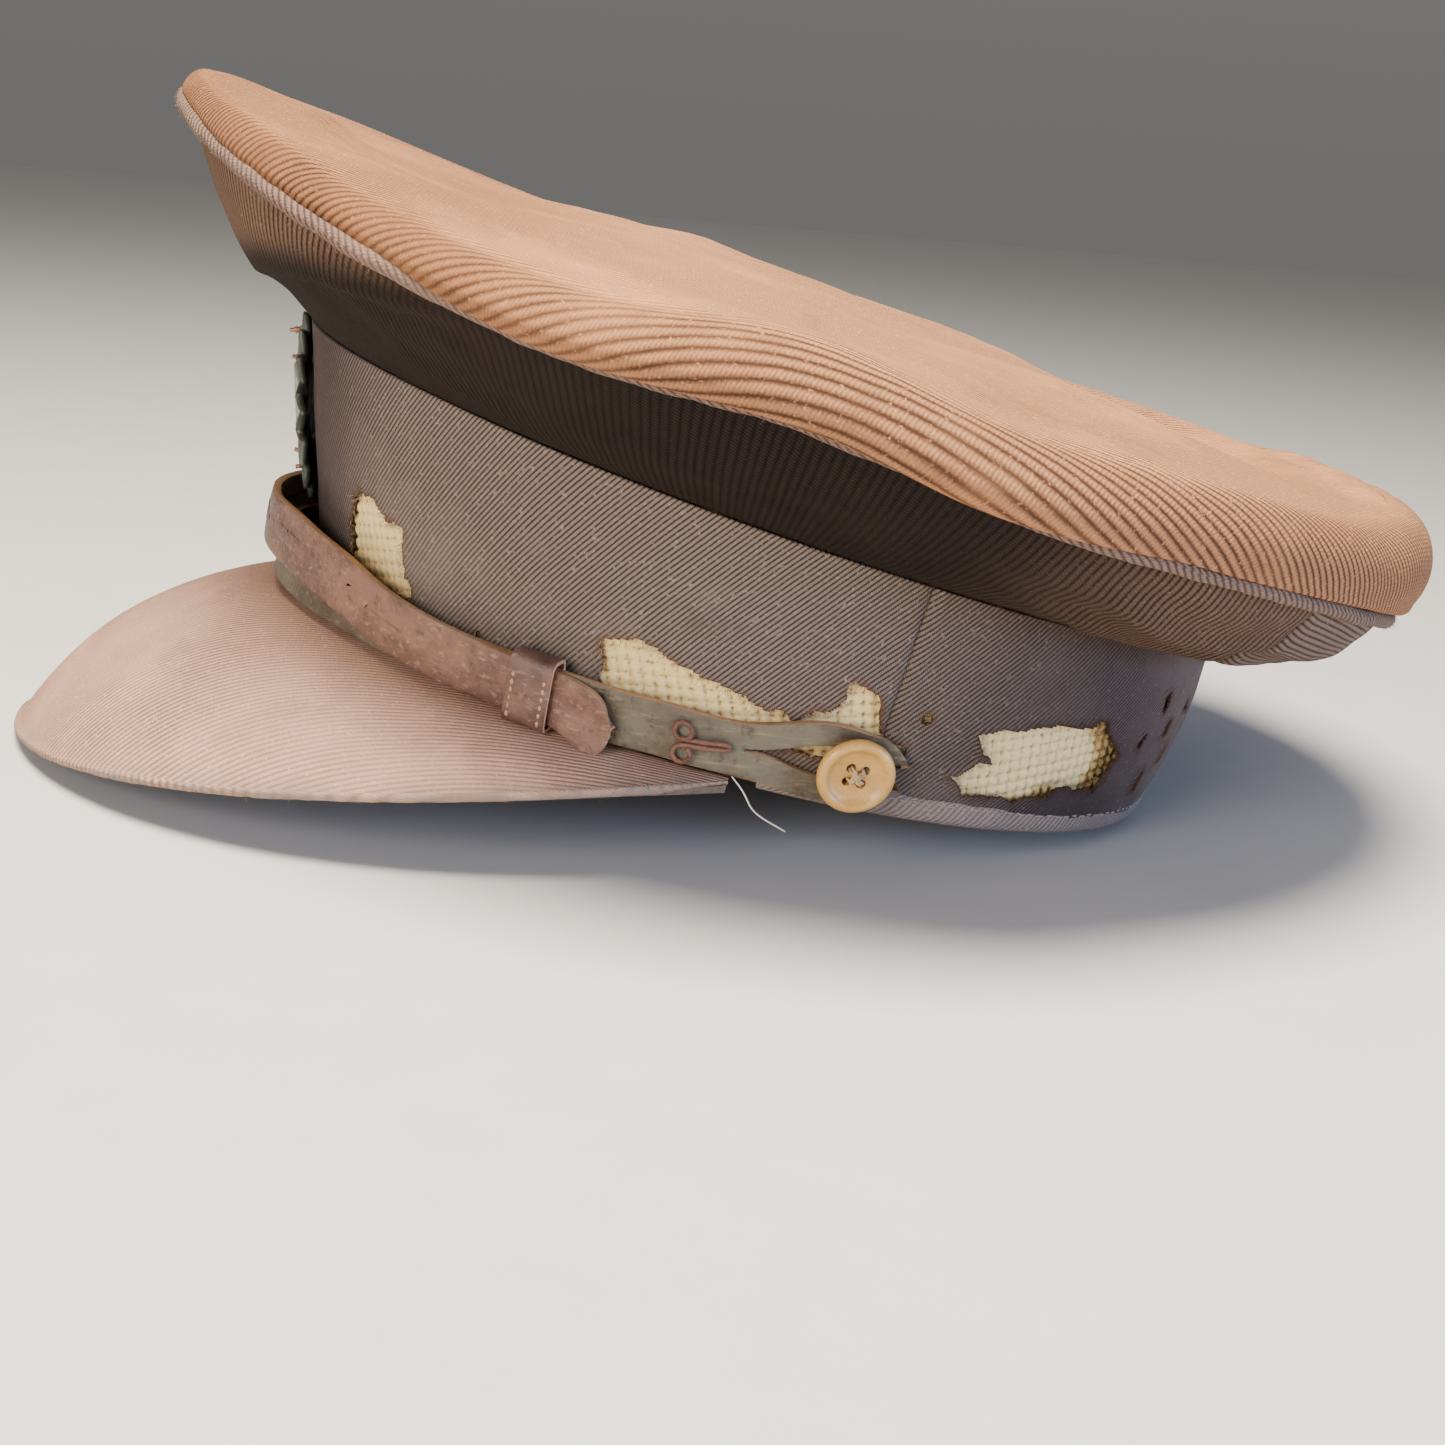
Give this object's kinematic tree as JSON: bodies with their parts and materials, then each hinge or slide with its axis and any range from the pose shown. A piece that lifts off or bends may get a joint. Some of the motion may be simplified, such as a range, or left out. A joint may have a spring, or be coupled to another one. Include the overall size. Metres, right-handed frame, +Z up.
{
  "type": "military peaked cap",
  "caption": "Soft-crowned peaked cap with a stiff flared band, cloth-covered visor, buttoned leather chin strap and a plain screw-on front badge.",
  "frame": {"origin": "centre of the bounding box's underside: the plane on which the cap stands", "axes": "+Z up, -Y to the front (visor), +X to the wearer's left"},
  "size_m": [0.2728, 0.3151, 0.1484],
  "materials": {
    "crown_cloth": "brown-taupe ribbed whipcord, faded",
    "band_cloth": "grey-brown ribbed whipcord, moth-holed",
    "visor_cloth": "pinkish-taupe ribbed whipcord over board",
    "woven_fibre": "woven straw-coloured stiffener",
    "lining_cloth": "worn cotton lining",
    "head_leather": "sweat-darkened sheepskin",
    "strap_leather": "dark brown bridle leather, tan cut edges",
    "inner_leather": "grey-green weathered leather",
    "board": "leatherboard",
    "cane": "cane hoop",
    "spring_steel": "dull sprung steel strip",
    "rusty_wire": "rusted steel wire",
    "button_plastic": "mustard-tan moulded button",
    "thread": "waxed tan thread",
    "badge_metal": "dark tarnished bronze",
    "shield_metal": "paler tarnished metal",
    "nut_metal": "plain turned brass"
  },
  "bodies": {
    "cap": {"crown_top": "crown_cloth", "quarter_front_left": "crown_cloth", "quarter_front_right": "crown_cloth", "quarter_rear_left": "crown_cloth", "quarter_rear_right": "crown_cloth", "crown_welt": "crown_cloth", "crown_hoop": "cane", "crown_front_stay": "spring_steel", "crown_top_lining": "lining_cloth", "crown_side_lining_left": "lining_cloth", "crown_side_lining_right": "lining_cloth", "band_cover_front": "band_cloth", "band_cover_rear": "band_cloth", "band_stiffener": "woven_fibre", "band_edge_binding": "band_cloth", "sweatband": "head_leather", "sweatband_reed": "head_leather", "visor_cover": "visor_cloth", "visor_core": "board", "visor_lining": "board", "badge_plate": "badge_metal", "badge_shield": "shield_metal", "badge_post": "nut_metal", "badge_washer": "nut_metal"},
    "chin_strap": {"chin_strap_outer": "strap_leather", "chin_strap_inner": "inner_leather", "keeper_left": "strap_leather", "keeper_right": "strap_leather", "strap_hook": "rusty_wire"},
    "button_left": {"button_left": "button_plastic", "button_left_thread": "thread"},
    "button_right": {"button_right": "button_plastic", "button_right_thread": "thread"},
    "badge_nut": {"badge_nut": "nut_metal"}
  },
  "joints": [
    {"name": "chin_strap_swing", "type": "hinge", "parent": "cap", "child": "chin_strap", "pos_m": [0, 0.02799, 0.02452], "axis": [-1, 0, 0], "range_deg": [0, 4]},
    {"name": "button_left_turn", "type": "hinge", "parent": "cap", "child": "button_left", "pos_m": [0.08027, 0.02799, 0.02452], "axis": [0.9767, 0.129, -0.1718], "range_deg": [-25, 25], "stiffness_Nm_per_rad": 0.002},
    {"name": "button_right_turn", "type": "hinge", "parent": "cap", "child": "button_right", "pos_m": [-0.08027, 0.02799, 0.02452], "axis": [-0.9767, 0.129, -0.1718], "range_deg": [-25, 25], "stiffness_Nm_per_rad": 0.002},
    {"name": "badge_nut_turn", "type": "hinge", "parent": "cap", "child": "badge_nut", "pos_m": [0, -0.09166, 0.0882], "axis": [0, -0.9986, -0.0537], "continuous": true}
  ]
}
